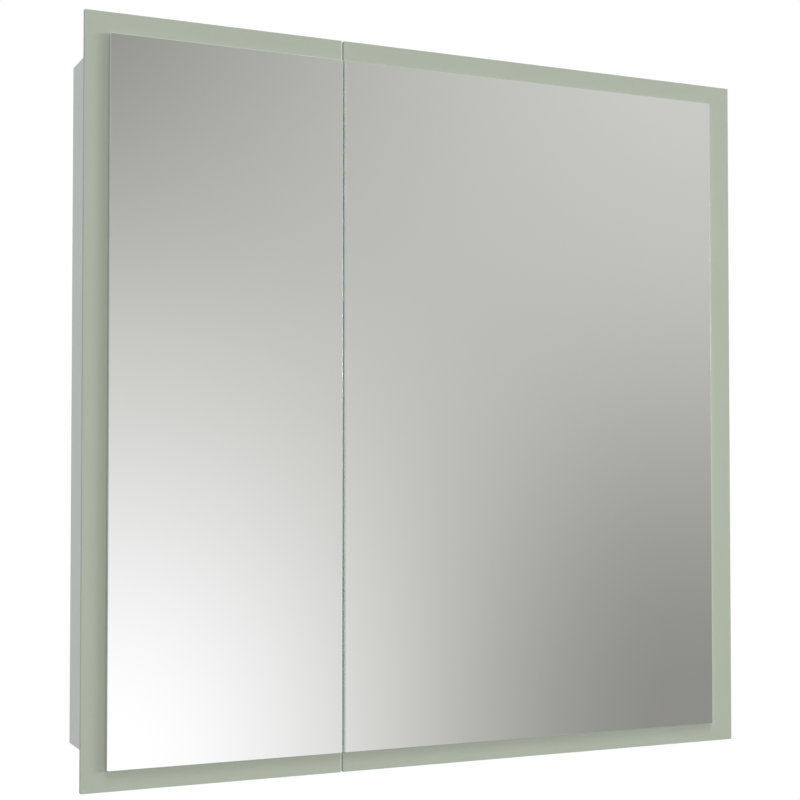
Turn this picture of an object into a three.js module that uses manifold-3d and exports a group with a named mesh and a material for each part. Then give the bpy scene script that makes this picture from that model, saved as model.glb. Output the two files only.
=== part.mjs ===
// Two-door bathroom mirror cabinet, hung on a wall rail. Millimetres, +Z up.
// X runs along the wall, the wall is the plane Y = 0, and the doors face -Y.
// The origin is the middle of the wall rail's rear face.

import * as THREE from 'three';
import { mergeVertices } from 'three/addons/utils/BufferGeometryUtils.js';
import Module from 'manifold-3d';

const wasm = await Module();
wasm.setup();

// ---------------------------------------------------------------- driving dimensions

const FACE_W = 800; // both closed doors together
const FACE_H = 800;
const WALL_TO_GLASS = 150; // wall to the front of the satin glass
const SEAM_FROM_LEFT = 285.5; // middle of the gap between the doors
const DOOR_GAP = 2;
// How far the satin glass stands past the carcass. The bottom is where a hand pulls a door open.
const OVERHANG = { side: 22, top: 23, bottom: 27 };

const SATIN_T = 5; // satin glass
const MIRROR_T = 4; // mirror plate on the satin glass
// Width of the satin band that shows round the pair of mirrors.
const MIRROR_INSET = { left: 26.2, right: 30.5, top: 22.5, bottom: 21.6 };
const BOARD_T = 16; // door board, sides, top, bottom and divider
const BACK_T = 5;
const BACK_RECESS = 18; // wall to the rear of the back panel
const REVEAL = 4; // carcass front to door board
const FIT = 0.3; // gap left between pieces that touch
const RUNNING_FIT = 0.05; // round a pin that turns in its bore
const OVERCUT = 1; // how far a cutting tool runs past the face it cuts

const SHELF_T = 6;
const SHELF_END_GAP = 2;
const SHELF_SETBACK = 14; // carcass front to shelf front
const SHELF_BACK_GAP = 2;
const SHELF_FROM_MIDDLE = 120; // carcass's mid height to each shelf's underside
const PIN_FROM_SHELF_FRONT = 20;
const PIN_SPACING = 50; // front pin to rear pin
const HOLE_PITCH = 32;
const HOLE_R = 2.65;
const HOLE_DEPTH = 8;
const HOLE_SIDES = 10;
const HALF_WEB = 1; // half the wood left between holes that meet in the divider

const HINGE_FROM_END = 92; // carcass end to hinge centre
const RAIL_BELOW_TOP = 55; // carcass top to the rail's middle
const RAIL_END_GAP = 2; // wall rail to each side panel

// ---------------------------------------------------------------- worked-out places

const CARCASS_W = FACE_W - 2 * OVERHANG.side;
const CARCASS_H = FACE_H - OVERHANG.top - OVERHANG.bottom;
const CARCASS_D = WALL_TO_GLASS - SATIN_T - BOARD_T - REVEAL;
const FRONT_Y = -CARCASS_D;
const TOP_Z = RAIL_BELOW_TOP;
const BOTTOM_Z = TOP_Z - CARCASS_H;
const MID_Z = (TOP_Z + BOTTOM_Z) / 2;
const FACE_TOP_Z = TOP_Z + OVERHANG.top;
const FACE_BOTTOM_Z = BOTTOM_Z - OVERHANG.bottom;
const INNER_X = CARCASS_W / 2 - BOARD_T; // inner face of each side
const BACK_FRONT_Y = -BACK_RECESS - BACK_T;
const SEAM_X = SEAM_FROM_LEFT - FACE_W / 2;
const PIN_FRONT_Y = FRONT_Y + SHELF_SETBACK + PIN_FROM_SHELF_FRONT;
const PIN_ROWS_Y = [PIN_FRONT_Y, PIN_FRONT_Y + PIN_SPACING];

const BAYS = {
  left: { from: -INNER_X, to: SEAM_X - BOARD_T / 2 },
  right: { from: SEAM_X + BOARD_T / 2, to: INNER_X },
};
const SHELF_LEVELS = { lower: MID_Z - SHELF_FROM_MIDDLE, upper: MID_Z + SHELF_FROM_MIDDLE };
const HINGE_LEVELS = { lower: BOTTOM_Z + HINGE_FROM_END, upper: TOP_Z - HINGE_FROM_END };

// ---------------------------------------------------------------- materials

function material(color, roughness, metalness = 0) {
  return new THREE.MeshStandardMaterial({ color, roughness, metalness });
}

const melamine = material('#dfe1dd', 0.45);
const satinGlass = material('#aab4a1', 0.4);
const mirrorGlass = material('#d9dcd8', 0.03, 1);
const shelfGlass = material('#cfe0d8', 0.05);
const steel = material('#b9bbbd', 0.3, 1);
const zinc = material('#c4c6c4', 0.42, 1);
const plastic = material('#eceeec', 0.5);
const rubber = material('#d8d8d4', 0.7);

// ---------------------------------------------------------------- solid helpers

function toSolid(geometry) {
  const bare = geometry.clone();
  bare.deleteAttribute('normal');
  bare.deleteAttribute('uv');
  const merged = mergeVertices(bare, 1e-4);
  return new wasm.Manifold(new wasm.Mesh({
    numProp: 3,
    vertProperties: Float32Array.from(merged.attributes.position.array),
    triVerts: Uint32Array.from(merged.index.array),
  }));
}

function toGeometry(solid) {
  const mesh = solid.getMesh();
  const geometry = new THREE.BufferGeometry();
  geometry.setAttribute('position', new THREE.BufferAttribute(mesh.vertProperties, 3));
  geometry.setIndex(new THREE.BufferAttribute(mesh.triVerts, 1));
  geometry.computeVertexNormals();
  return geometry;
}

function join(geometries) {
  return toGeometry(geometries.map(toSolid).reduce((sum, next) => sum.add(next)));
}

function cut(geometry, tools) {
  return toGeometry(tools.map(toSolid).reduce((rest, tool) => rest.subtract(tool), toSolid(geometry)));
}

function common(a, b) {
  return toGeometry(toSolid(a).intersect(toSolid(b)));
}

// A box from its lowest to its highest corner.
function block([x0, y0, z0], [x1, y1, z1]) {
  const geometry = new THREE.BoxGeometry(x1 - x0, y1 - y0, z1 - z0);
  return geometry.translate((x0 + x1) / 2, (y0 + y1) / 2, (z0 + z1) / 2);
}

// A round bar along X, Y or Z, centred on a point.
function bar(axis, radius, length, [x, y, z], sides = 16) {
  const geometry = new THREE.CylinderGeometry(radius, radius, length, sides);
  if (axis === 'x') geometry.rotateZ(Math.PI / 2);
  if (axis === 'z') geometry.rotateX(Math.PI / 2);
  return geometry.translate(x, y, z);
}

// A closed outline pulled along an axis, centred on that axis's zero.
function prism(points, length) {
  const shape = new THREE.Shape(points.map(([a, b]) => new THREE.Vector2(a, b)));
  const geometry = new THREE.ExtrudeGeometry(shape, { depth: length, bevelEnabled: false });
  return geometry.translate(0, 0, -length / 2);
}

// The mirror image across X = 0, with its faces turned to point out again.
function mirrorX(geometry) {
  const image = geometry.index ? geometry.clone() : mergeVertices(geometry);
  image.scale(-1, 1, 1);
  const index = image.index.array;
  for (let i = 0; i < index.length; i += 3) {
    [index[i + 1], index[i + 2]] = [index[i + 2], index[i + 1]];
  }
  image.computeVertexNormals();
  return image;
}

// Pieces drawn for the left end of the cabinet, turned over for the right end.
function forSide(geometry, side) {
  return side === 'left' ? geometry : mirrorX(geometry);
}

function part(name, geometry, look, [x, y, z] = [0, 0, 0]) {
  const mesh = new THREE.Mesh(geometry, look);
  mesh.name = name;
  mesh.position.set(x, y, z);
  return mesh;
}

// ---------------------------------------------------------------- carcass

// Three holes at each shelf level, in two rows, sunk into the face at X = faceX.
function pinHoles(faceX) {
  const holes = [];
  for (const level of Object.values(SHELF_LEVELS)) {
    for (const y of PIN_ROWS_Y) {
      for (const step of [-1, 0, 1]) {
        const centre = [faceX, y, level - PIN_DROP + step * HOLE_PITCH];
        holes.push(bar('x', HOLE_R, 2 * HOLE_DEPTH, centre, HOLE_SIDES));
      }
    }
  }
  return holes;
}

function sidePanel(side) {
  const panel = block([-CARCASS_W / 2, FRONT_Y, BOTTOM_Z], [-INNER_X, 0, TOP_Z]);
  return part(`${side}_side`, forSide(cut(panel, pinHoles(-INNER_X)), side), melamine);
}

function topPanel() {
  const reach = INNER_X - FIT;
  return part('top_panel', block([-reach, FRONT_Y, TOP_Z - BOARD_T], [reach, 0, TOP_Z]), melamine);
}

function bottomPanel() {
  const reach = INNER_X - FIT;
  const panel = block([-reach, FRONT_Y, BOTTOM_Z], [reach, 0, BOTTOM_Z + BOARD_T]);
  const half = [MAGNET_W / 2 + FIT, MAGNET_H / 2 + FIT];
  const z = BOTTOM_Z + BOARD_T / 2;
  const low = [SEAM_X - half[0], FRONT_Y - OVERCUT, z - half[1]];
  const high = [SEAM_X + half[0], FRONT_Y + MAGNET_SUNK + FIT, z + half[1]];
  return part('bottom_panel', cut(panel, [block(low, high)]), melamine);
}

function divider() {
  const x0 = BAYS.left.to;
  const x1 = BAYS.right.from;
  const z0 = BOTTOM_Z + BOARD_T + FIT;
  const z1 = TOP_Z - BOARD_T - FIT;
  const panel = block([x0, FRONT_Y, z0], [x1, BACK_FRONT_Y - FIT, z1]);
  return part('divider', cut(panel, [...pinHoles(x0 - HALF_WEB), ...pinHoles(x1 + HALF_WEB)]), melamine);
}

function backPanel() {
  const reach = INNER_X - FIT;
  const z0 = BOTTOM_Z + BOARD_T + FIT;
  const z1 = TOP_Z - BOARD_T - FIT;
  const panel = block([-reach, BACK_FRONT_Y, z0], [reach, -BACK_RECESS, z1]);
  const half = HOOK_W / 2 + HOOK_SLOT_SIDE;
  const bottom = HOOK_Z - HOOK_SLOT_ABOVE;
  const top = HOOK_Z + HOOK_T + HOOK_SLOT_ABOVE;
  const slots = [-HANGER_X, HANGER_X].map((x) => {
    return block([x - half, BACK_FRONT_Y - OVERCUT, bottom], [x + half, OVERCUT - BACK_RECESS, top]);
  });
  return part('back_panel', cut(panel, slots), melamine);
}

// ---------------------------------------------------------------- shelves and their pins

const PIN_HEAD_R = 3;
const PIN_COLLAR_R = 3.6;
const PIN_COLLAR_T = 1.2;
const PIN_REACH = 9; // out of the panel
const PIN_SUNK = 6.5; // into the panel
const PIN_SHANK_R = 2.35;
const PIN_SIDES = 12;
const PIN_DROP = PIN_HEAD_R + FIT; // shelf underside to pin axis

function shelf(bay, level) {
  const { from, to } = BAYS[bay];
  const z = SHELF_LEVELS[level];
  const front = FRONT_Y + SHELF_SETBACK;
  const low = [from + SHELF_END_GAP, front, z];
  const high = [to - SHELF_END_GAP, BACK_FRONT_Y - SHELF_BACK_GAP, z + SHELF_T];
  return part(`${bay}_${level}_shelf`, block(low, high), shelfGlass);
}

// A turned pin on the X axis: shank in the panel, collar on its face, head under the shelf.
function pinGeometry() {
  const profile = [
    [0, -PIN_SUNK],
    [PIN_SHANK_R, -PIN_SUNK],
    [PIN_SHANK_R, FIT],
    [PIN_COLLAR_R, FIT],
    [PIN_COLLAR_R, FIT + PIN_COLLAR_T],
    [PIN_HEAD_R, FIT + PIN_COLLAR_T],
    [PIN_HEAD_R, PIN_REACH],
    [0, PIN_REACH],
  ];
  const points = profile.map(([r, along]) => new THREE.Vector2(r, along));
  return new THREE.LatheGeometry(points, PIN_SIDES).rotateZ(-Math.PI / 2);
}

function shelfPins(bay, level) {
  const pins = [];
  const ends = { left: BAYS[bay].from, right: BAYS[bay].to };
  const z = SHELF_LEVELS[level] - PIN_DROP;
  for (const [end, x] of Object.entries(ends)) {
    for (const [i, y] of PIN_ROWS_Y.entries()) {
      const name = `${bay}_${level}_shelf_pin_${end}_${i === 0 ? 'front' : 'rear'}`;
      pins.push(part(name, forSide(pinGeometry(), end), steel, [x, y, z]));
    }
  }
  return pins;
}

// ---------------------------------------------------------------- doors

const DOORS = {
  left: { from: -FACE_W / 2, to: SEAM_X - DOOR_GAP / 2 },
  right: { from: SEAM_X + DOOR_GAP / 2, to: FACE_W / 2 },
};
const BOARD_REAR_Y = FRONT_Y - REVEAL;
const BOARD_FRONT_Y = BOARD_REAR_Y - BOARD_T;
const SATIN_FRONT_Y = -WALL_TO_GLASS;
const BUMPER_R = 5;
const BUMPER_FROM_SEAM = 20;
const STRIKE_W = 14;
const STRIKE_H = 9;
const STRIKE_T = 1.4;
const STRIKE_FROM_SEAM = 12;
const MAGNET_W = 44;
const MAGNET_H = 8;
const MAGNET_SUNK = 12;
const MAGNET_FRONT_Y = BOARD_REAR_Y + FIT + STRIKE_T + FIT;

// The span of a door's layer that stops short of the outer edge by `inset`.
function layerSpan(door, inset) {
  const { from, to } = DOORS[door];
  return door === 'left' ? [from + inset, to] : [from, to - inset];
}

function doorBoard(door) {
  const [x0, x1] = layerSpan(door, OVERHANG.side);
  const board = block([x0, BOARD_FRONT_Y, BOTTOM_Z], [x1, BOARD_REAR_Y, TOP_Z]);
  const sign = door === 'left' ? 1 : -1;
  const x = sign * (-CARCASS_W / 2 + CUP_FROM_EDGE);
  const bores = Object.values(HINGE_LEVELS).map((z) => {
    return bar('y', CUP_BORE_R, 2 * CUP_BORE_DEPTH, [x, BOARD_REAR_Y, z], CUP_SIDES);
  });
  return part(`${door}_door_board`, cut(board, bores), melamine);
}

function satinPanel(door) {
  const [x0, x1] = layerSpan(door, 0);
  const low = [x0, SATIN_FRONT_Y, FACE_BOTTOM_Z];
  const high = [x1, SATIN_FRONT_Y + SATIN_T - FIT, FACE_TOP_Z];
  return part(`${door}_satin_glass`, block(low, high), satinGlass);
}

function mirrorPlate(door) {
  const [x0, x1] = layerSpan(door, MIRROR_INSET[door]);
  const low = [x0, SATIN_FRONT_Y - MIRROR_T, FACE_BOTTOM_Z + MIRROR_INSET.bottom];
  const high = [x1, SATIN_FRONT_Y - FIT, FACE_TOP_Z - MIRROR_INSET.top];
  return part(`${door}_mirror`, block(low, high), mirrorGlass);
}

// Soft stop that rests on the front edge of the top panel.
function doorBumper(door) {
  const x = SEAM_X + (door === 'left' ? -BUMPER_FROM_SEAM : BUMPER_FROM_SEAM);
  const length = REVEAL - 2 * FIT;
  const place = [x, FRONT_Y - REVEAL / 2, TOP_Z - BOARD_T / 2];
  return part(`${door}_door_bumper`, bar('y', BUMPER_R, length, [0, 0, 0]), rubber, place);
}

// Steel strike on the door board, facing the magnet.
function strikePlate(door) {
  const x = SEAM_X + (door === 'left' ? -STRIKE_FROM_SEAM : STRIKE_FROM_SEAM);
  const geometry = new THREE.BoxGeometry(STRIKE_W, STRIKE_T, STRIKE_H);
  const place = [x, BOARD_REAR_Y + FIT + STRIKE_T / 2, BOTTOM_Z + BOARD_T / 2];
  return part(`${door}_strike_plate`, geometry, steel, place);
}

// Double magnet let into the front edge of the bottom panel, one half for each door.
function doorMagnet() {
  const z = BOTTOM_Z + BOARD_T / 2;
  const low = [SEAM_X - MAGNET_W / 2, MAGNET_FRONT_Y, z - MAGNET_H / 2];
  const high = [SEAM_X + MAGNET_W / 2, FRONT_Y + MAGNET_SUNK, z + MAGNET_H / 2];
  return part('door_magnet', block(low, high), plastic);
}

function door(name) {
  const group = new THREE.Group();
  group.add(doorBoard(name), satinPanel(name), mirrorPlate(name));
  group.add(doorBumper(name), strikePlate(name));
  return group;
}

// ---------------------------------------------------------------- concealed hinges
// Drawn for the left end. X is measured from the carcass's outer face inward, Y from the
// carcass front back towards the wall, Z from the hinge's centre.

const PIVOT = [6.5, -9]; // hinge pin, inside the door board's edge
const CUP_FROM_EDGE = 19.5;
const CUP_BORE_R = 17.5;
const CUP_BORE_DEPTH = 12;
const CUP_R = 17.2;
const CUP_WALL = 1;
const CUP_DEPTH = 11;
const CUP_SIDES = 32;
const FLANGE_R = 18.3;
const FLANGE_T = 1.2;
const FLANGE_Y = -REVEAL + FIT; // face against the door board
const FLANGE_X = 2.5; // the round flange is cut flat beside the board's edge
const WING_X = [22, 35];
const WING_REACH = 31; // above and below the cup's centre
const HINGE_PIN_R = 1;
const HINGE_PIN_L = 14.8;
const HINGE_BORE_PAST = 0.1; // past the ears, short of the cup's wall
const KNUCKLE_R = 2.2;
const KNUCKLE_W = 7.6;
const KNUCKLE_SIDES = 20;
const EAR_T = 4;
const EAR_PAST_PIN = 3;
const ARM_X = 18.6; // arm's face towards the side panel
const ARM_T = 2.4;
const ARM_W = 16;
const ARM_DEEP = 7.4;
const ARM_START = 5;
const ARM_END = 60;
const ARM_WALL = 1.4;
const NECK_END = 8;
const NECK_BEND = 3; // outside of the bend at the cup
const NECK_CORNER = 1; // inside of the same bend
const TROUGH_START = 9;
const PLATE_T = 2;
const PLATE_Y = [12, 64];
const PLATE_REACH = 9.5;
const CROSS_Y = [30, 44];
const CROSS_REACH = 26;
const SPINE_Y = [14, 62];
const SPINE_GAP = 0.6; // spine to the inside of the arm
const SINK = 0.5; // overlap that joins two shapes into one solid

function hingeCup() {
  const flangeTop = FLANGE_Y + FLANGE_T;
  const bottom = FLANGE_Y - CUP_DEPTH;
  const depth = flangeTop - bottom;
  const middle = (flangeTop + bottom) / 2;
  const centre = [CUP_FROM_EDGE, middle, 0];
  const barrel = bar('y', CUP_R, depth, centre, CUP_SIDES);
  const disc = bar('y', FLANGE_R, FLANGE_T, [CUP_FROM_EDGE, FLANGE_Y + FLANGE_T / 2, 0], CUP_SIDES);
  const pastFlat = block([FLANGE_X, FLANGE_Y, -FLANGE_R], [FLANGE_X + 2 * FLANGE_R, flangeTop, FLANGE_R]);
  const wings = block([WING_X[0], FLANGE_Y, -WING_REACH], [WING_X[1], flangeTop, WING_REACH]);
  const hollowCentre = [CUP_FROM_EDGE, middle + CUP_WALL, 0];
  const hollow = bar('y', CUP_R - CUP_WALL, depth, hollowCentre, CUP_SIDES);
  const shell = cut(join([barrel, common(disc, pastFlat), wings]), [hollow]);
  const withinWall = bar('y', CUP_R - CUP_WALL / 2, depth, centre, CUP_SIDES);
  const earStart = KNUCKLE_W / 2 + FIT;
  const earEnd = earStart + EAR_T;
  const ears = [[-earEnd, -earStart], [earStart, earEnd]].map(([z0, z1]) => {
    const low = [0, bottom + CUP_WALL / 2, z0];
    const high = [PIVOT[0] + EAR_PAST_PIN, PIVOT[1] + EAR_PAST_PIN, z1];
    return common(block(low, high), withinWall);
  });
  const bore = bar('z', HINGE_PIN_R + RUNNING_FIT, 2 * (earEnd + HINGE_BORE_PAST), [...PIVOT, 0]);
  return cut(join([shell, ...ears]), [bore]);
}

function hingePin() {
  return bar('z', HINGE_PIN_R, HINGE_PIN_L, [0, 0, 0]);
}

// Gooseneck arm: a knuckle on the pin, a neck out of the cup, and a channel over the plate.
function hingeArm() {
  const [px, py] = PIVOT;
  const low = py - KNUCKLE_R;
  const outer = ARM_X + ARM_T;
  const neck = prism([
    [px, low],
    [outer - NECK_BEND, low],
    [outer, low + NECK_BEND],
    [outer, NECK_END],
    [ARM_X, NECK_END],
    [ARM_X, low + ARM_T + NECK_CORNER],
    [ARM_X - NECK_CORNER, low + ARM_T],
    [px, low + ARM_T],
  ], KNUCKLE_W);
  const knuckle = bar('z', KNUCKLE_R, KNUCKLE_W, [px, py, 0], KNUCKLE_SIDES);
  const half = ARM_W / 2;
  const top = ARM_X + ARM_DEEP;
  const cover = block([ARM_X, ARM_START, -half], [top, ARM_END, half]);
  const trough = block(
    [ARM_X - OVERCUT, TROUGH_START, ARM_WALL - half],
    [top - ARM_WALL, ARM_END + OVERCUT, half - ARM_WALL],
  );
  const channel = cut(cover, [trough]);
  const bore = bar('z', HINGE_PIN_R + RUNNING_FIT, 2 * KNUCKLE_W, [px, py, 0]);
  return cut(join([neck, knuckle, channel]), [bore]);
}

// Cross-shaped mounting plate with the spine that the arm clips over.
function hingePlate() {
  const x0 = BOARD_T + FIT;
  const x1 = x0 + PLATE_T;
  const spineReach = ARM_W / 2 - ARM_WALL - SPINE_GAP;
  const spineTop = ARM_X + ARM_DEEP - ARM_WALL - SPINE_GAP;
  return join([
    block([x0, PLATE_Y[0], -PLATE_REACH], [x1, PLATE_Y[1], PLATE_REACH]),
    block([x0, CROSS_Y[0], -CROSS_REACH], [x1, CROSS_Y[1], CROSS_REACH]),
    block([x1 - SINK, SPINE_Y[0], -spineReach], [spineTop, SPINE_Y[1], spineReach]),
  ]);
}

function hinge(side, level) {
  const group = new THREE.Group();
  const name = (piece) => `${side}_${level}_hinge_${piece}`;
  const pinX = side === 'left' ? PIVOT[0] : -PIVOT[0];
  group.position.set((side === 'left' ? -1 : 1) * (CARCASS_W / 2), FRONT_Y, HINGE_LEVELS[level]);
  group.add(part(name('cup'), forSide(hingeCup(), side), zinc));
  group.add(part(name('pin'), hingePin(), steel, [pinX, PIVOT[1], 0]));
  group.add(part(name('arm'), forSide(hingeArm(), side), zinc));
  group.add(part(name('plate'), forSide(hingePlate(), side), zinc));
  return group;
}

// ---------------------------------------------------------------- wall rail and hangers

const RAIL_T = 2;
const RAIL_H = 28; // flat part against the wall
const LIP_Y = -10; // front of the upturned lip
const LIP_TOP = 26;
const SLOT_X = [-300, -150, 150, 300];
const SLOT_Z = -2;
const SLOT_R = 3;
const SLOT_HALF_L = 6; // between the centres of a slot's round ends, halved
const HOOK_T = 2.5;
const HOOK_W = 18;
const HOOK_NOSE_GAP = 0.8; // nose to the rear of the rail's lip
const HOOK_NOSE_H = 10;
const HOOK_PLATE_H = 36;
const HOOK_REACH = 30; // back panel to the hook's plate
const HOOK_SLOT_SIDE = 2; // room round the hook in the back panel
const HOOK_SLOT_ABOVE = 3;
const HOOK_Z = LIP_TOP + FIT; // underside of the hook's tongue
const HANGER_W = 26;
const HANGER_D = 44;
const HANGER_H = 64;
const HANGER_WALL = 2;
const HANGER_X = INNER_X - FIT - HANGER_W / 2;
const HANGER_GAP = 2; // top of the case to the top panel
const HANGER_TOP = TOP_Z - BOARD_T - HANGER_GAP;
const HANGER_SCREW_R = 2.5;
const HANGER_SCREW_Z = 0;
const SCREW_HEAD_R = 5;
const SCREW_HEAD_T = 2.5;
const SCREW_CHAMFER = 0.8;
const SCREW_L = 30;
const SCREW_SIDES = 16;

// Folded steel strip: flat on the wall, one step forward, and a lip that points up.
function wallRail() {
  const half = RAIL_H / 2;
  const section = [
    [0, -half],
    [0, half],
    [LIP_Y + RAIL_T, half],
    [LIP_Y + RAIL_T, LIP_TOP],
    [LIP_Y, LIP_TOP],
    [LIP_Y, half - RAIL_T],
    [-RAIL_T, half - RAIL_T],
    [-RAIL_T, -half],
  ];
  const strip = prism(section, 2 * (INNER_X - RAIL_END_GAP)).rotateX(Math.PI / 2).rotateZ(Math.PI / 2);
  const deep = RAIL_T + OVERCUT;
  const slots = SLOT_X.map((x) => join([
    bar('y', SLOT_R, 2 * deep, [x - SLOT_HALF_L, 0, SLOT_Z]),
    bar('y', SLOT_R, 2 * deep, [x + SLOT_HALF_L, 0, SLOT_Z]),
    block([x - SLOT_HALF_L, -deep, SLOT_Z - SLOT_R], [x + SLOT_HALF_L, deep, SLOT_Z + SLOT_R]),
  ]));
  return part('wall_rail', cut(strip, slots), zinc);
}

// Moulded case in the upper rear corner, open at the back for the hook.
function hangerCase() {
  const y1 = BACK_FRONT_Y - FIT;
  const y0 = y1 - HANGER_D;
  const z0 = HANGER_TOP - HANGER_H;
  const outer = block([-HANGER_W / 2, y0, z0], [HANGER_W / 2, y1, HANGER_TOP]);
  const inside = HANGER_W / 2 - HANGER_WALL;
  const low = [-inside, y0 + HANGER_WALL, z0 + HANGER_WALL];
  const hollow = block(low, [inside, y1 + OVERCUT, HANGER_TOP - HANGER_WALL]);
  const screwHole = bar('y', HANGER_SCREW_R + FIT, 3 * HANGER_WALL, [0, y0, HANGER_SCREW_Z]);
  return cut(outer, [hollow, screwHole]);
}

// Bent steel strap: a plate in the case, a tongue through the back, a nose behind the lip.
function hangerHook() {
  const nose = LIP_Y + RAIL_T + HOOK_NOSE_GAP;
  const heel = BACK_FRONT_Y - HOOK_REACH;
  const section = [
    [nose, HOOK_Z],
    [nose, HOOK_Z - HOOK_NOSE_H],
    [nose + HOOK_T, HOOK_Z - HOOK_NOSE_H],
    [nose + HOOK_T, HOOK_Z + HOOK_T],
    [heel - HOOK_T, HOOK_Z + HOOK_T],
    [heel - HOOK_T, HOOK_Z - HOOK_PLATE_H],
    [heel, HOOK_Z - HOOK_PLATE_H],
    [heel, HOOK_Z],
  ];
  const strap = prism(section, HOOK_W).rotateX(Math.PI / 2).rotateZ(Math.PI / 2);
  return cut(strap, [bar('y', HANGER_SCREW_R + FIT, HOOK_REACH, [0, heel, HANGER_SCREW_Z])]);
}

// Adjusting screw: its flat head sits on the front of the case.
function hangerScrew() {
  const profile = [
    [0, 0],
    [SCREW_HEAD_R - SCREW_CHAMFER, 0],
    [SCREW_HEAD_R, SCREW_CHAMFER],
    [SCREW_HEAD_R, SCREW_HEAD_T],
    [HANGER_SCREW_R, SCREW_HEAD_T],
    [HANGER_SCREW_R, SCREW_HEAD_T + SCREW_L],
    [0, SCREW_HEAD_T + SCREW_L],
  ];
  const points = profile.map(([r, along]) => new THREE.Vector2(r, along));
  return new THREE.LatheGeometry(points, SCREW_SIDES);
}

function hanger(side) {
  const group = new THREE.Group();
  const caseFront = BACK_FRONT_Y - FIT - HANGER_D;
  const screwY = caseFront - FIT - SCREW_HEAD_T;
  group.position.x = (side === 'left' ? -1 : 1) * HANGER_X;
  group.add(part(`${side}_hanger_case`, hangerCase(), plastic));
  group.add(part(`${side}_hanger_hook`, hangerHook(), zinc));
  group.add(part(`${side}_hanger_screw`, hangerScrew(), steel, [0, screwY, HANGER_SCREW_Z]));
  return group;
}

// ---------------------------------------------------------------- assembly

const cabinet = new THREE.Group();
cabinet.add(sidePanel('left'), sidePanel('right'));
cabinet.add(topPanel(), bottomPanel());
cabinet.add(divider(), backPanel(), doorMagnet());
for (const bay of ['left', 'right']) {
  for (const level of ['lower', 'upper']) {
    cabinet.add(shelf(bay, level), ...shelfPins(bay, level));
  }
}
for (const side of ['left', 'right']) {
  cabinet.add(door(side), hanger(side));
  cabinet.add(hinge(side, 'lower'), hinge(side, 'upper'));
}
cabinet.add(wallRail());

export default cabinet;
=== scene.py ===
"""Looks, light and camera for a two-door bathroom mirror cabinet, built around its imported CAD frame.

Shapes are drawn in millimetres in the cabinet's own frame: X along the wall, the wall at Y = 0, doors
facing -Y, Z up. new_piece() turns them into metres.
"""

import math

import bmesh
import bpy
from mathutils import Matrix, Vector


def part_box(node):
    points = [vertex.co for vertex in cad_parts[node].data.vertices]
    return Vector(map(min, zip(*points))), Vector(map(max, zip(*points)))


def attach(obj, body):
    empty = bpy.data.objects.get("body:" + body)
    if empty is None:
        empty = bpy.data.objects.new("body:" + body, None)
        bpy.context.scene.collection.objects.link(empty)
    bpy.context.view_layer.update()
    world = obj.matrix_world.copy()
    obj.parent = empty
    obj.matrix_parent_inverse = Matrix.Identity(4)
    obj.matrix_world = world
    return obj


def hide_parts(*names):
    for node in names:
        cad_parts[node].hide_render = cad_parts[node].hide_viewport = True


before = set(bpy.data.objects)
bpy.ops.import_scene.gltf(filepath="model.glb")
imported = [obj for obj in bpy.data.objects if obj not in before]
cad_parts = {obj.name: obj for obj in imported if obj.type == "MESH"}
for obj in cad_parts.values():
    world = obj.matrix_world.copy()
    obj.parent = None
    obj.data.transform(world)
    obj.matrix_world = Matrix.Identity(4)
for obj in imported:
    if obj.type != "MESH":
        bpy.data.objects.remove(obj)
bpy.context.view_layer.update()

MM = 0.001
SIDES = ("left", "right")
LEVELS = ("lower", "upper")


def cad_box(node):
    """Lowest and highest corner of a CAD node, in millimetres."""
    lo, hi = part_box(node)
    return lo / MM, hi / MM


CARCASS_LO, _ = cad_box("left_side")
_, CARCASS_HI = cad_box("right_side")
FRONT_Y = CARCASS_LO.y
BOARD_REAR_Y = cad_box("left_door_board")[1].y


# ---------------------------------------------------------------- meshes


def on_axis(axis, u, v, w):
    """A point from outline coordinates u, v and a distance w along the named axis."""
    return {"x": (w, u, v), "y": (u, w, v), "z": (u, v, w)}[axis]


def loft(loops, looks=None, ring=False):
    """Skin over loops of matching points. Faces close both ends, or the last loop joins the first."""
    bm = bmesh.new()
    rows = [[bm.verts.new(point) for point in loop] for loop in loops]
    pairs = list(zip(rows, rows[1:]))
    if ring:
        pairs.append((rows[-1], rows[0]))
    for index, (a, b) in enumerate(pairs):
        for j in range(len(a)):
            k = (j + 1) % len(a)
            face = bm.faces.new((a[j], a[k], b[k], b[j]))
            face.material_index = looks[index + 1] if looks else 0
    if not ring:
        for index, row in ((0, rows[0]), (-1, rows[-1])):
            bm.faces.new(row).material_index = looks[index] if looks else 0
    return bm


LEAST_RADIUS = 0.02


def rounded(lo, hi, radius, inset=0.0, steps=6):
    """A rounded rectangle's points, from the lower left corner round to the upper left one."""
    points = []
    r = max(radius - inset, LEAST_RADIUS)
    for corner in range(4):
        right, upper = corner in (1, 2), corner in (2, 3)
        cu = hi[0] - inset - r if right else lo[0] + inset + r
        cv = hi[1] - inset - r if upper else lo[1] + inset + r
        for i in range(steps + 1):
            a = math.radians(180 + 90 * corner + 90 * i / steps)
            points.append((cu + r * math.cos(a), cv + r * math.sin(a)))
    return points


def arris_steps(size, count=2):
    """(inset, depth) pairs round a small quarter-round edge, from the face to the side."""
    steps = []
    for i in range(count + 1):
        a = math.radians(90 * i / count)
        steps.append((size * (1 - math.sin(a)), size * (1 - math.cos(a))))
    return steps


AXES = {"x": (1, 2, 0), "y": (0, 2, 1), "z": (0, 1, 2)}  # an outline's two directions, then the axis
ONE_LOOK = (0, 0, 0)
CUT_LOOK = (1, 1, 1)


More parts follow.
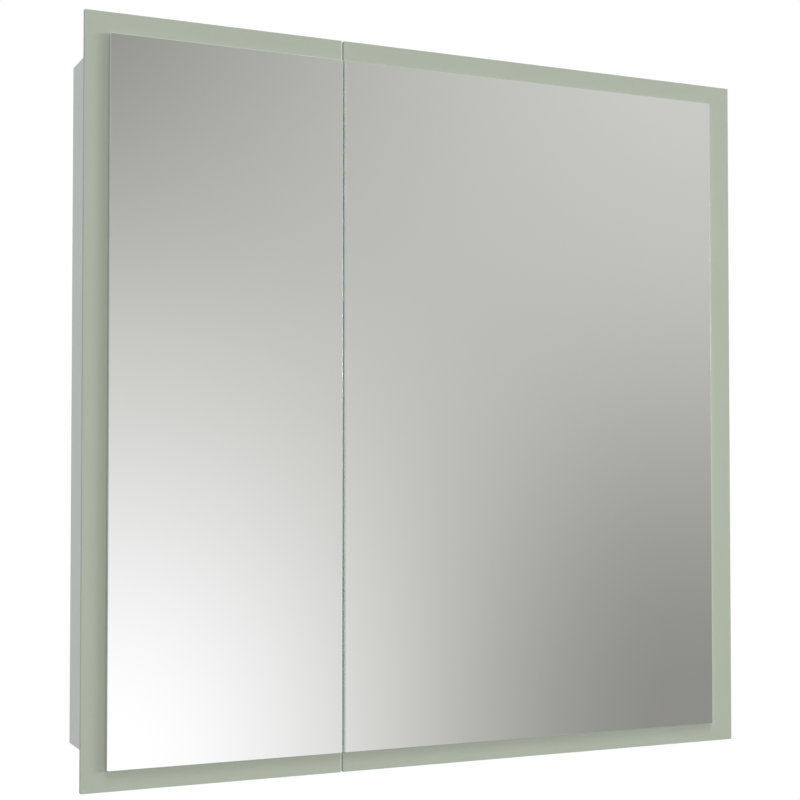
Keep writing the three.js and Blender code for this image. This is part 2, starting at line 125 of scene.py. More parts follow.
def plate(lo, hi, axis, radius=1.0, arris=0.4, looks=(0, 1, 2), count=2, steps=6):
    """A flat plate with rounded corners and eased edges; looks number its low face, edge and high face."""
    a, b, w = AXES[axis]
    near = [(inset, lo[w] + depth) for inset, depth in arris_steps(arris, count)]
    far = [(inset, hi[w] - depth) for inset, depth in reversed(arris_steps(arris, count))]
    loops = []
    for inset, height in near + far:
        outline = rounded((lo[a], lo[b]), (hi[a], hi[b]), radius, inset, steps)
        loops.append([on_axis(axis, u, v, height) for u, v in outline])
    numbers = [looks[0]] + [looks[1]] * (len(loops) - 1) + [looks[2]]
    return loft(loops, numbers)


def frame_ring(lo, hi, width, axis, radius, arris):
    """A closed band round a plate's four edges."""
    a, b, w = AXES[axis]
    loops = []
    for inset, height in [
        (arris, lo[w]),
        (0, lo[w] + arris),
        (0, hi[w] - arris),
        (arris, hi[w]),
        (width, hi[w]),
        (width, lo[w]),
    ]:
        outline = rounded((lo[a], lo[b]), (hi[a], hi[b]), radius, inset)
        loops.append([on_axis(axis, u, v, height) for u, v in outline])
    return loft(loops, ring=True)


def lathe(profile, centre=(0, 0, 0), axis="y", segments=32, look=0, ring=False):
    """A turned shape from (radius, height) pairs, closed flat at both ends or back into a ring."""
    loops = []
    for radius, height in profile:
        loop = []
        for i in range(segments):
            a = 2 * math.pi * i / segments
            point = on_axis(axis, radius * math.cos(a), radius * math.sin(a), height)
            loop.append([c + p for c, p in zip(centre, point)])
        loops.append(loop)
    return loft(loops, [look] * (len(loops) + 1), ring)


def box(lo, hi, soft=0.3, segments=2, look=0):
    """A block with eased edges."""
    bm = bmesh.new()
    bmesh.ops.create_cube(bm, size=1)
    size = Vector(hi) - Vector(lo)
    middle = (Vector(hi) + Vector(lo)) / 2
    bmesh.ops.transform(
        bm, matrix=Matrix.Translation(middle) @ Matrix.Diagonal((*size, 1)), verts=bm.verts
    )
    if soft:
        bmesh.ops.bevel(
            bm, geom=bm.edges[:], offset=soft, segments=segments, profile=0.5, affect="EDGES"
        )
    for face in bm.faces:
        face.material_index = look
    return bm


def filleted(points, radius, steps=5):
    """A path of 2-D points with each inner corner turned into an arc."""
    path = [Vector(points[0])]
    for before, corner, after in zip(points, points[1:], points[2:]):
        corner = Vector(corner)
        into = (corner - Vector(before)).normalized()
        out = (Vector(after) - corner).normalized()
        turn = math.atan2(into.x * out.y - into.y * out.x, into.dot(out))
        start = corner - into * radius * math.tan(abs(turn) / 2)
        side = Vector((-into.y, into.x)) * math.copysign(radius, turn)
        for i in range(steps + 1):
            angle = turn * i / steps
            spoke = Matrix.Rotation(angle, 2) @ -side
            path.append(start + side + spoke)
    path.append(Vector(points[-1]))
    return path


def ribbon(path, thickness):
    """Closed outline of a strip of even thickness along a 2-D path."""
    left, right = [], []
    for i, point in enumerate(path):
        along = (path[min(i + 1, len(path) - 1)] - path[max(i - 1, 0)]).normalized()
        offset = Vector((-along.y, along.x)) * thickness / 2
        left.append(point + offset)
        right.append(point - offset)
    return left + right[::-1]


def extruded(outline, axis, start, end, soft=0.25):
    """An outline pulled along an axis, with its long sharp edges and its ends eased."""
    bm = loft([[on_axis(axis, u, v, w) for u, v in outline] for w in (start, end)])
    bmesh.ops.recalc_face_normals(bm, faces=bm.faces)
    sharp = [edge for edge in bm.edges if edge.calc_face_angle(0) > math.radians(50)]
    bmesh.ops.bevel(bm, geom=sharp, offset=soft, segments=2, profile=0.5, affect="EDGES")
    return bm


def together(shapes):
    """Several shapes in one mesh."""
    whole = bmesh.new()
    for shape in shapes:
        mesh = bpy.data.meshes.new("Part")
        shape.to_mesh(mesh)
        shape.free()
        whole.from_mesh(mesh)
        bpy.data.meshes.remove(mesh)
    return whole


def temporary(bm):
    """An object that holds a shape while it is cut."""
    mesh = bpy.data.meshes.new("Temporary")
    bmesh.ops.recalc_face_normals(bm, faces=bm.faces)
    bm.to_mesh(mesh)
    bm.free()
    obj = bpy.data.objects.new("Temporary", mesh)
    bpy.context.scene.collection.objects.link(obj)
    return obj


def carved(shape, cutters):
    """The shape less the volume of every cutter. The cut faces keep the cutters' look."""
    whole = temporary(shape)
    tool = temporary(together(cutters))
    modifier = whole.modifiers.new("Carve", "BOOLEAN")
    modifier.operation = "DIFFERENCE"
    modifier.solver = "EXACT"
    modifier.object = tool
    result = bmesh.new()
    bpy.context.view_layer.update()
    result.from_object(whole, bpy.context.evaluated_depsgraph_get())
    for obj in (whole, tool):
        mesh = obj.data
        bpy.data.objects.remove(obj)
        bpy.data.meshes.remove(mesh)
    return result


SMOOTH_ANGLE = math.radians(38)


def new_piece(name, shape, materials, body, replaces=(), place=None):
    """Turns a shape in millimetres into a finished piece that rides on a CAD body."""
    if place is not None:
        bmesh.ops.transform(shape, matrix=place, verts=shape.verts)
    bmesh.ops.scale(shape, vec=(MM, MM, MM), verts=shape.verts)
    bmesh.ops.recalc_face_normals(shape, faces=shape.faces)
    mesh = bpy.data.meshes.new(name)
    shape.to_mesh(mesh)
    shape.free()
    for material in materials:
        mesh.materials.append(material)
    mesh.polygons.foreach_set("use_smooth", [True] * len(mesh.polygons))
    mesh.set_sharp_from_angle(angle=SMOOTH_ANGLE)
    obj = bpy.data.objects.new(name, mesh)
    bpy.context.scene.collection.objects.link(obj)
    weighted = obj.modifiers.new("Weighted normals", "WEIGHTED_NORMAL")
    weighted.keep_sharp = True
    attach(obj, body)
    if replaces:
        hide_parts(*replaces)
    return obj


# ---------------------------------------------------------------- materials


class Surface:
    """A procedural material: noise fields in object space drive colour, roughness and relief."""

    def __init__(self, name, roughness, metallic=0.0, **constants):
        self.material = bpy.data.materials.new(name)
        self.material.use_nodes = True
        self.tree = self.material.node_tree
        self.shader = self.tree.nodes["Principled BSDF"]
        self.shader.inputs["Roughness"].default_value = roughness
        self.shader.inputs["Metallic"].default_value = metallic
        for socket, value in constants.items():
            self.shader.inputs[socket.replace("_", " ")].default_value = value
        self.coordinates = self.tree.nodes.new("ShaderNodeTexCoord").outputs["Object"]

    def link(self, output, socket):
        self.tree.links.new(output, self.shader.inputs[socket])

    def noise(self, per_mm, detail=3.0, stretch=(1, 1, 1), roughness=0.5):
        """A noise field with about per_mm cells to the millimetre."""
        mapping = self.tree.nodes.new("ShaderNodeMapping")
        mapping.inputs["Scale"].default_value = stretch
        field = self.tree.nodes.new("ShaderNodeTexNoise")
        field.inputs["Scale"].default_value = per_mm / MM
        field.inputs["Detail"].default_value = detail
        field.inputs["Roughness"].default_value = roughness
        self.tree.links.new(self.coordinates, mapping.inputs["Vector"])
        self.tree.links.new(mapping.outputs["Vector"], field.inputs["Vector"])
        return field.outputs["Fac"]

    def spots(self, per_mm):
        """Distance to scattered points, for grains and chips."""
        field = self.tree.nodes.new("ShaderNodeTexVoronoi")
        field.inputs["Scale"].default_value = per_mm / MM
        self.tree.links.new(self.coordinates, field.inputs["Vector"])
        return field.outputs["Distance"]

    def ranged(self, field, low, high, start=0.3, stop=0.7):
        """The field from start to stop, as a number from low to high."""
        node = self.tree.nodes.new("ShaderNodeMapRange")
        node.inputs["From Min"].default_value = start
        node.inputs["From Max"].default_value = stop
        node.inputs["To Min"].default_value = low
        node.inputs["To Max"].default_value = high
        self.tree.links.new(field, node.inputs["Value"])
        return node.outputs["Result"]

    def colour(self, field, *stops, start=0.3, stop=0.7):
        """Colours spread evenly over the field from start to stop."""
        ramp = self.tree.nodes.new("ShaderNodeValToRGB")
        elements = ramp.color_ramp.elements
        while len(elements) < len(stops):
            elements.new(0.5)
        for i, shade in enumerate(stops):
            elements[i].position = start + (stop - start) * i / (len(stops) - 1)
            elements[i].color = (*shade, 1)
        self.tree.links.new(field, ramp.inputs["Fac"])
        self.link(ramp.outputs["Color"], "Base Color")
        return self

    def gloss(self, field, low, high):
        self.link(self.ranged(field, low, high), "Roughness")
        return self

    def relief(self, field, height_mm, strength=1.0):
        bump = self.tree.nodes.new("ShaderNodeBump")
        bump.inputs["Strength"].default_value = strength
        bump.inputs["Distance"].default_value = height_mm * MM
        self.tree.links.new(field, bump.inputs["Height"])
        self.link(bump.outputs["Normal"], "Normal")
        return self


def shades(colour, spread):
    """A colour a little darker and a little lighter."""
    return [tuple(min(1, c * (1 - spread)) for c in colour), tuple(min(1, c * (1 + spread)) for c in colour)]


def melamine():
    s = Surface("Melamine board", 0.45, IOR=1.5)
    s.colour(s.noise(0.02, 4), *shades((0.693, 0.746, 0.711), 0.012))
    s.gloss(s.noise(0.15, 3), 0.40, 0.50)
    return s.relief(s.noise(1.6, 2, roughness=0.6), 0.012, 0.6).material


def edge_band():
    s = Surface("Edge band", 0.38, IOR=1.5)
    s.colour(s.noise(0.05, 3), *shades((0.683, 0.734, 0.70), 0.015))
    s.gloss(s.noise(0.3, 2), 0.32, 0.42)
    return s.relief(s.noise(0.6, 2), 0.01, 0.6).material


def chipboard():
    s = Surface("Chipboard core", 0.85)
    s.colour(s.noise(0.7, 4, roughness=0.7), (0.26, 0.18, 0.10), (0.46, 0.35, 0.22), (0.60, 0.49, 0.34))
    return s.relief(s.spots(0.9), 0.25, 0.8).material


SAGE = (0.410, 0.455, 0.384)


def satin_face():
    s = Surface("Satin glass face", 0.42, IOR=1.5, Specular_IOR_Level=0.4)
    s.colour(s.noise(0.012, 3), *shades(SAGE, 0.012))
    s.gloss(s.noise(0.08, 4), 0.38, 0.46)
    return s.relief(s.noise(4.0, 2, roughness=0.7), 0.006, 0.5).material


def satin_edge():
    s = Surface("Satin glass edge", 0.45, IOR=1.5, Specular_IOR_Level=0.3)
    s.colour(s.noise(0.06, 3, stretch=(1, 1, 0.2)), (0.43, 0.48, 0.42), (0.50, 0.55, 0.48))
    s.gloss(s.noise(0.5, 2), 0.38, 0.52)
    return s.relief(s.noise(0.25, 2), 0.02, 0.4).material


def back_paint():
    s = Surface("Backing paint", 0.6)
    s.colour(s.noise(0.04, 4), *shades((0.36, 0.39, 0.37), 0.05))
    return s.relief(s.noise(0.8, 3), 0.03, 0.6).material


def silvering():
    s = Surface("Mirror silvering", 0.006, 1.0)
    s.colour(s.noise(0.004, 2), *shades((0.912, 0.908, 0.909), 0.004))
    s.gloss(s.noise(0.02, 4), 0.002, 0.012)
    return s.relief(s.noise(0.004, 1), 0.02, 0.15).material


def mirror_edge(name, dark, light):
    s = Surface(name, 0.08, IOR=1.52)
    s.colour(s.noise(0.08, 3, stretch=(1, 1, 0.3)), dark, light)
    s.gloss(s.noise(0.6, 2), 0.05, 0.15)
    return s.relief(s.noise(0.3, 2), 0.02, 0.4).material


def clear_glass():
    s = Surface("Clear shelf glass", 0.01, IOR=1.52, Transmission_Weight=1.0)
    s.colour(s.noise(0.01, 2), (0.955, 0.985, 0.97), (0.965, 0.99, 0.978))
    s.gloss(s.noise(0.03, 3), 0.0, 0.02)
    return s.relief(s.noise(0.01, 1), 0.01, 0.2).material


def clear_edge():
    s = Surface("Shelf glass edge", 0.08, IOR=1.52, Transmission_Weight=0.55)
    s.colour(s.noise(0.07, 3), (0.28, 0.56, 0.46), (0.42, 0.70, 0.60))
    s.gloss(s.noise(0.6, 2), 0.05, 0.18)
    return s.relief(s.noise(0.4, 2), 0.02, 0.4).material


def nickel():
    s = Surface("Nickel plate", 0.2, 1.0)
    s.colour(s.noise(0.3, 3), *shades((0.72, 0.71, 0.69), 0.04))
    s.gloss(s.noise(1.5, 3, stretch=(1, 1, 6)), 0.14, 0.3)
    return s.relief(s.noise(2.5, 2, stretch=(1, 1, 8)), 0.006, 0.5).material


def zinc():
    s = Surface("Zinc plate", 0.36, 1.0)
    s.colour(s.noise(0.12, 5, roughness=0.65), (0.55, 0.56, 0.57), (0.66, 0.67, 0.68), (0.74, 0.74, 0.73))
    s.gloss(s.noise(0.5, 4), 0.27, 0.46)
    return s.relief(s.noise(1.8, 3), 0.012, 0.6).material


def moulded_plastic():
    s = Surface("Moulded plastic", 0.5, IOR=1.49)
    s.colour(s.noise(0.05, 3), *shades((0.80, 0.81, 0.80), 0.015))
    s.gloss(s.noise(0.4, 3), 0.42, 0.56)
    return s.relief(s.spots(2.2), 0.03, 0.5).material


def soft_stop():
    s = Surface("Soft stop", 0.35, IOR=1.43, Transmission_Weight=0.35)
    s.colour(s.noise(0.2, 2), *shades((0.72, 0.73, 0.71), 0.03))
    s.gloss(s.noise(0.5, 2), 0.28, 0.42)
    return s.relief(s.noise(0.7, 2), 0.02, 0.4).material


MELAMINE = melamine()
BAND = edge_band()
CHIPBOARD = chipboard()
SATIN = [satin_face(), satin_edge(), back_paint()]
MIRROR = [
    silvering(),
    # Both edge looks are one polished glass. The round is painted darker, a painted shade over the side
    # lamps' light on it.
    mirror_edge("Mirror glass round painted darker", (0.58, 0.64, 0.62), (0.66, 0.71, 0.69)),
    SATIN[2],
    # The flat side edge is painted near-white: a painted glow standing for light carried through the glass
    # into the shaded seam between the doors.
    mirror_edge("Mirror glass edge painted glow", (0.86, 0.90, 0.885), (0.92, 0.95, 0.94)),
]
SHELF = [clear_glass(), clear_edge()]
NICKEL = nickel()
ZINC = zinc()
PLASTIC = moulded_plastic()
SOFT = soft_stop()

# ---------------------------------------------------------------- carcass

BAND_T = 0.8
EASE = 0.35
HOLE_R = 2.5
HOLE_MOUTH_R = 2.9
HOLE_DEPTH = 8
DIVIDER_HOLE_DEPTH = 6.8
HOLE_PITCH = 32
MAGNET_ROOM = 0.2
HOOK_T = 2.5
HOOK_ROOM = 2
HOOK_ROOM_Z = 3
SHEET_EASE = 0.2
PIN_Y = [
    sum(corner.y for corner in cad_box(f"left_lower_shelf_pin_left_{row}")) / 2
    for row in ("front", "rear")
]
PIN_Z = [
    sum(corner.z for corner in cad_box(f"left_{level}_shelf_pin_left_front")) / 2
    for level in LEVELS
]


def pin_holes(face_x, inward):
    """Cutters for the shelf holes in a panel's face; inward is the sign of X into the panel."""
    profile = [(HOLE_MOUTH_R, -1), (HOLE_MOUTH_R, 0.1), (HOLE_R, 0.5), (HOLE_R, HOLE_DEPTH)]
    cutters = []
    for z in PIN_Z:
        for y in PIN_Y:
            for step in (-1, 0, 1):
                turned = [(r, inward * h) for r, h in profile]
                centre = (face_x, y, z + step * HOLE_PITCH)
                cutters.append(lathe(turned, centre, "x", 20, look=1))
    return cutters


def fronted_panel(name, node, cutters=()):
    """A board that stops short of its CAD box by the thickness of its edge band. Returns that box."""
    lo, hi = cad_box(node)
    core = box((lo.x, lo.y + BAND_T, lo.z), hi, EASE)
    if cutters:
        core = carved(core, cutters)
    new_piece(name, core, [MELAMINE, CHIPBOARD], "carcass", [node])
    return lo, hi


def front_band(name, lo, hi, cutters=()):
    """The strip of edge band on the front of a board whose box runs from lo to hi."""
    strip = box(lo, (hi.x, lo.y + BAND_T, hi.z), EASE)
    if cutters:
        strip = carved(strip, cutters)
    new_piece(name, strip, [BAND], "carcass")


def build_carcass():
    left_hi = cad_box("left_side")[1]
    right_lo = cad_box("right_side")[0]
    holes = {"left": pin_holes(left_hi.x, -1), "right": pin_holes(right_lo.x, 1)}
    for side in SIDES:
        lo, hi = fronted_panel(f"side_panel_{side}", f"{side}_side", holes[side])
        front_band(f"side_band_{side}", lo, hi)
    lo, hi = fronted_panel("top_board", "top_panel")
    front_band("top_band", lo, hi)

    magnet_lo, magnet_hi = cad_box("door_magnet")
    room = Vector((MAGNET_ROOM, MAGNET_ROOM, MAGNET_ROOM))
    past_front = Vector((0, 3, 0))
    recess = (magnet_lo - room - past_front, magnet_hi + room)
    lo, hi = fronted_panel("bottom_board", "bottom_panel", [box(*recess, 0, look=1)])
    front_band("bottom_band", lo, hi, [box(*recess, 0)])

    lo, hi = cad_box("divider")
    both = pin_holes(lo.x, 1) + pin_holes(hi.x, -1)
    fronted_panel("divider_board", "divider", shortened(both))
    front_band("divider_band", lo, hi)

    lo, hi = cad_box("back_panel")
    slots = []
    for side in SIDES:
        hook_lo, hook_hi = cad_box(f"{side}_hanger_hook")
        slot_lo = (hook_lo.x - HOOK_ROOM, lo.y - 2, hook_hi.z - HOOK_T - HOOK_ROOM_Z)
        slot_hi = (hook_hi.x + HOOK_ROOM, hi.y + 2, hook_hi.z + HOOK_ROOM_Z)
        slots.append(plate(slot_lo, slot_hi, "y", 2.0, 0.05, CUT_LOOK))
    sheet = carved(box(lo, hi, SHEET_EASE), slots)
    new_piece("back_sheet", sheet, [MELAMINE, CHIPBOARD], "carcass", ["back_panel"])


def shortened(cutters):
    """Pin-hole cutters pulled back so that holes from both faces of the divider don't meet."""
    lo, hi = cad_box("divider")
    for bm in cutters:
        xs = [v.co.x for v in bm.verts]
        from_low = min(xs) < lo.x
        limit = lo.x + DIVIDER_HOLE_DEPTH if from_low else hi.x - DIVIDER_HOLE_DEPTH
        for v in bm.verts:
            v.co.x = min(v.co.x, limit) if from_low else max(v.co.x, limit)
    return cutters


# ---------------------------------------------------------------- shelves


SHELF_CORNER_R = 2.5
SHELF_ARRIS = 1.2


def build_shelves():
    """Two glass shelves in each bay, each on four pins."""
    for bay in SIDES:
        for level in LEVELS:
            node = f"{bay}_{level}_shelf"
            lo, hi = cad_box(node)
            shape = plate(lo, hi, "z", SHELF_CORNER_R, SHELF_ARRIS, (0, 1, 0), count=3)
            new_piece(f"glass_shelf_{bay}_{level}", shape, SHELF, "carcass", [node])
            for end in SIDES:
                for row in ("front", "rear"):
                    shelf_pin(f"{node}_pin_{end}_{row}", f"pin_{bay}_{level}_{end}_{row}", end)


def shelf_pin(node, name, end):
    """A turned 5 mm shelf pin: shank, collar, head with a groove and a rounded nose."""
    lo, hi = cad_box(node)
    y, z = (lo.y + hi.y) / 2, (lo.z + hi.z) / 2
    sign = 1 if end == "left" else -1
    start = lo.x if end == "left" else hi.x
    profile = [
        (1.9, 0),
        (2.35, 0.5),
        (2.35, 6.9),
        (3.4, 6.9),
        (3.6, 7.1),
        (3.6, 7.8),
        (3.4, 8.0),
        (3.0, 8.1),
        (2.7, 8.4),
        (3.0, 8.8),
        (3.0, 14.4),
        (2.8, 15.0),
        (2.3, 15.4),
        (1.2, 15.5),
    ]
    turned = [(r, sign * h) for r, h in profile]
    shape = lathe(turned, (start, y, z), "x", 24)
    new_piece(name, shape, [NICKEL], "carcass", [node])


# ---------------------------------------------------------------- screws

SCREW_SINK = 0.1  # how far a head's foot stands below the surface that it is on


def cross_screw(radius, height, recess=0.55):
    """A pan head facing +Z from Z = 0, with a cross whose arms reach to recess of its radius."""
    profile = [
        (radius * 0.96, -0.1),
        (radius, 0.15),
        (radius, height * 0.35),
        (radius * 0.9, height * 0.72),
        (radius * 0.66, height * 0.94),
        (radius * 0.3, height),
    ]
    head = lathe(profile, (0, 0, 0), "z", 28)
    arm, half = radius * recess, radius * 0.11
    foot = height * 0.35
    blades = [
        box((-arm, -half, foot), (arm, half, height + 1), 0),
        box((-half, -arm, foot), (half, arm, height + 1), 0),
    ]
    return carved(carved(head, blades[:1]), blades[1:])


def facing(direction, point):
    """Matrix that turns +Z to a direction and moves the origin to a point."""
    turn = Vector((0, 0, 1)).rotation_difference(Vector(direction)).to_matrix().to_4x4()
    return Matrix.Translation(point) @ turn


def add_screw(name, radius, point, direction, body, height):
    """One nickel screw head on a surface at point, facing along direction."""
    shape = cross_screw(radius, height)
    new_piece(name, shape, [NICKEL], body, place=facing(direction, point))


# ---------------------------------------------------------------- doors


CUP_FROM_EDGE = 19.5
CUP_BORE_R = 17.5
CUP_BORE_DEPTH = 12
BOARD_EASE = 0.15
SATIN_R = 1.0
SATIN_ARRIS = 0.4
MIRROR_R = 1.0
MIRROR_ARRIS = 0.35
MIRROR_SEAM_ARRIS = {"left": 0.5, "right": 1.8}


def door_layers(side):
    """Board, edge band, satin glass and mirror plate of one door."""
    body = f"{side}_door"
    lo, hi = cad_box(f"{side}_door_board")
    inset = Vector((BAND_T, 0, BAND_T))
    bores = []
    for level in LEVELS:
        cup_lo, cup_hi = cad_box(f"{side}_{level}_hinge_cup")
        x = CARCASS_LO.x + CUP_FROM_EDGE if side == "left" else CARCASS_HI.x - CUP_FROM_EDGE
        centre = (x, hi.y, (cup_lo.z + cup_hi.z) / 2)
        profile = [(CUP_BORE_R, 1), (CUP_BORE_R, -CUP_BORE_DEPTH)]
        bores.append(lathe(profile, centre, "y", 48, look=1))
    board = carved(box(lo + inset, hi - inset, BOARD_EASE), bores)
    boards = [MELAMINE, CHIPBOARD]
    new_piece(f"board_{side}", board, boards, body, [f"{side}_door_board"])
    band = frame_ring(lo, hi, BAND_T, "y", 0.5, EASE)
    new_piece(f"board_band_{side}", band, [BAND], body)

    lo, hi = cad_box(f"{side}_satin_glass")
    satin_front = lo.y
    glass = plate(lo, hi, "y", SATIN_R, SATIN_ARRIS, count=3, steps=8)
    new_piece(f"satin_panel_{side}", glass, SATIN, body, [f"{side}_satin_glass"])

    lo, hi = cad_box(f"{side}_mirror")
    hi.y = satin_front
    rounds = [MIRROR_ARRIS, MIRROR_SEAM_ARRIS[side]]
    low, high = rounds if side == "left" else reversed(rounds)
    mirror = mirror_shape(lo, hi, low, high)
    new_piece(f"mirror_plate_{side}", mirror, MIRROR, body, [f"{side}_mirror"])


def mirror_shape(lo, hi, low, high):
    """A mirror plate; low and high are the widths of the polished rounds at its low X and high X edges."""
    middle_x = (lo.x + hi.x) / 2
    loops = []
    for inset, depth in arris_steps(1, 5):
        start = (lo.x + low * inset, lo.z + MIRROR_ARRIS * inset)
        end = (hi.x - high * inset, hi.z - MIRROR_ARRIS * inset)
        outline = rounded(start, end, MIRROR_R)
        loops.append([(u, lo.y + depth * (low if u < middle_x else high), v) for u, v in outline])
    outline = rounded((lo.x, lo.z), (hi.x, hi.z), MIRROR_R)
    loops.append([(u, hi.y, v) for u, v in outline])
    # Look 1 is the polished round, painted darker as painted shade; look 3 is the flat side edge, painted
    # near-white as a painted glow.
    return loft(loops, [0] + [1] * (len(loops) - 2) + [3, 2])


def door_fittings(side):
    """Bumper, strike plate and its screw."""
    body = f"{side}_door"
    lo, hi = cad_box(f"{side}_door_bumper")
    x, z = (lo.x + hi.x) / 2, (lo.z + hi.z) / 2
    dome = [(5.0, 0.0), (5.0, 0.6), (4.75, 1.5), (4.1, 2.3), (3.0, 2.95), (1.6, 3.3), (0.4, 3.4)]
    shape = lathe(dome, (x, BOARD_REAR_Y, z), "y", 36)
    new_piece(f"bumper_{side}", shape, [SOFT], body, [f"{side}_door_bumper"])

    lo, hi = cad_box(f"{side}_strike_plate")
    lo.y = BOARD_REAR_Y
    centre = (lo + hi) / 2
    countersink = [(2.9, 1), (2.9, 0), (1.5, -1.2), (1.5, -3)]
    sink = lathe(countersink, (centre.x, hi.y, centre.z), "y", 28)
    shape = carved(plate(lo, hi, "y", 2.0, 0.3, ONE_LOOK), [sink])
    new_piece(f"strike_{side}", shape, [NICKEL], body, [f"{side}_strike_plate"])
    point = (centre.x, hi.y - 1.0, centre.z)
    add_screw(f"strike_screw_{side}", 2.6, point, (0, 1, 0), body, 0.9)


POLE_FROM_EDGE = 1.9
POLE_T = 1.2
POLE_DEPTH = 6
POLE_ROOM = 0.1
POLE_STANDS_OUT = 0.3


def build_magnet():
    """Plastic housing in the bottom board, with two pairs of steel pole plates."""
    lo, hi = cad_box("door_magnet")
    poles, recesses = [], []
    half = POLE_T / 2
    for side in SIDES:
        strike_lo, strike_hi = cad_box(f"{side}_strike_plate")
        for z in (lo.z + POLE_FROM_EDGE, hi.z - POLE_FROM_EDGE):
            pole_lo = Vector((strike_lo.x, lo.y, z - half))
            pole_hi = Vector((strike_hi.x, lo.y + POLE_DEPTH, z + half))
            poles.append(box(pole_lo, pole_hi, 0.15))
            room = Vector((POLE_ROOM, POLE_ROOM, POLE_ROOM))
            past_front = Vector((0, 2 - POLE_ROOM, 0))
            recesses.append(box(pole_lo - room - past_front, pole_hi + room, 0))
    case = carved(box((lo.x, lo.y + POLE_STANDS_OUT, lo.z), hi, 0.8, 3), recesses)
    new_piece("magnet_case", case, [PLASTIC], "carcass", ["door_magnet"])
    new_piece("magnet_poles", together(poles), [NICKEL], "carcass")


# ---------------------------------------------------------------- concealed hinges
# Drawn for the left end: X inward from the carcass's outer face, Y back from the carcass front and
# Z from the hinge's centre. Pairs named _X and _Y are a start and an end.

PIVOT = (6.5, -9)
PIN_HALF = 7.4
PIN_BORE_R = 1.05
CUP_DEPTH = 12.2
FLANGE_TOP = -2.5
FLANGE_T = 1.2
WING_X = (21, 35)
WING_HALF = 31
WING_SCREW = (28.4, 24)
EAR_X = (3.6, 9.6)
EAR_T = 2.6
EAR_FROM_CENTRE = 4.3
NECK_X = 19.8
NECK_Y = -10
NECK_T = 2.4
NECK_HALF = 3.8
CHANNEL_X = (18.6, 26)
CHANNEL_Y = (5, 60)
CHANNEL_HALF = 8
TROUGH_TOP_X = 24.6
TROUGH_HALF = 6.6
SIDE_SCREW_Y = 17
DEPTH_SLOT_Y = (43, 55)
DEPTH_SLOT_HALF = 2.2
PANEL_FACE_X = 16
PLATE_TOP_X = 18.3
PLATE_SCREW = (37, 18.5)


def hinge_place(side, level):
    """Matrix from a hinge's own frame to the cabinet's. The right end's hinges are mirrored."""
    lo, hi = cad_box(f"{side}_{level}_hinge_plate")
    z = (lo.z + hi.z) / 2
    sign, face = (1, CARCASS_LO.x) if side == "left" else (-1, CARCASS_HI.x)
    return Matrix.Translation((face, FRONT_Y, z)) @ Matrix.Diagonal((sign, 1, 1, 1))


def cup_shape():
    """Pressed cup with a rolled flange, two wings for screws and two ears for the pin."""
    bottom = FLANGE_TOP - CUP_DEPTH
    under_flange = FLANGE_TOP - FLANGE_T
    profile = [
        (14.0, bottom),
        (16.2, bottom + 0.2),
        (17.0, bottom + 0.9),
        (17.2, bottom + 2),
        (17.2, under_flange),
        (18.1, under_flange),
        (18.3, FLANGE_TOP - 0.7),
        (18.1, FLANGE_TOP - 0.15),
        (17.6, FLANGE_TOP),
        (16.7, FLANGE_TOP),
        (16.3, FLANGE_TOP - 0.3),
        (16.2, under_flange),
        (16.2, bottom + 3),
        (15.4, bottom + 1.4),
        (13.0, bottom + 1.0),
    ]
    bowl = lathe(profile, (CUP_FROM_EDGE, 0, 0), "y", 56)
    wing_lo = (WING_X[0], under_flange, -WING_HALF)
    wing_hi = (WING_X[1], FLANGE_TOP - 0.1, WING_HALF)
    wing = plate(wing_lo, wing_hi, "y", 6.5, 0.3, ONE_LOOK, steps=8)
    clear = lathe([(17.7, -10), (17.7, 10)], (CUP_FROM_EDGE, 0, 0), "y", 56)
    ears = [
        box((EAR_X[0], bottom + 0.6, z), (EAR_X[1], PIVOT[1] + EAR_T, z + EAR_T), 0.7, 3)
        for z in (EAR_FROM_CENTRE, -EAR_FROM_CENTRE - EAR_T)
    ]
    return together([bowl, carved(wing, [clear]), *ears])


def pin_shape():
    """Riveted hinge pin: a plain shank and a domed head at each end."""
    profile = [
        (0.6, -PIN_HALF),
        (1.5, -PIN_HALF + 0.25),
        (1.6, -PIN_HALF + 0.6),
        (1.0, -PIN_HALF + 0.62),
        (1.0, PIN_HALF - 0.62),
        (1.6, PIN_HALF - 0.6),
        (1.5, PIN_HALF - 0.25),
        (0.6, PIN_HALF),
    ]
    return lathe(profile, (*PIVOT, 0), "z", 24)


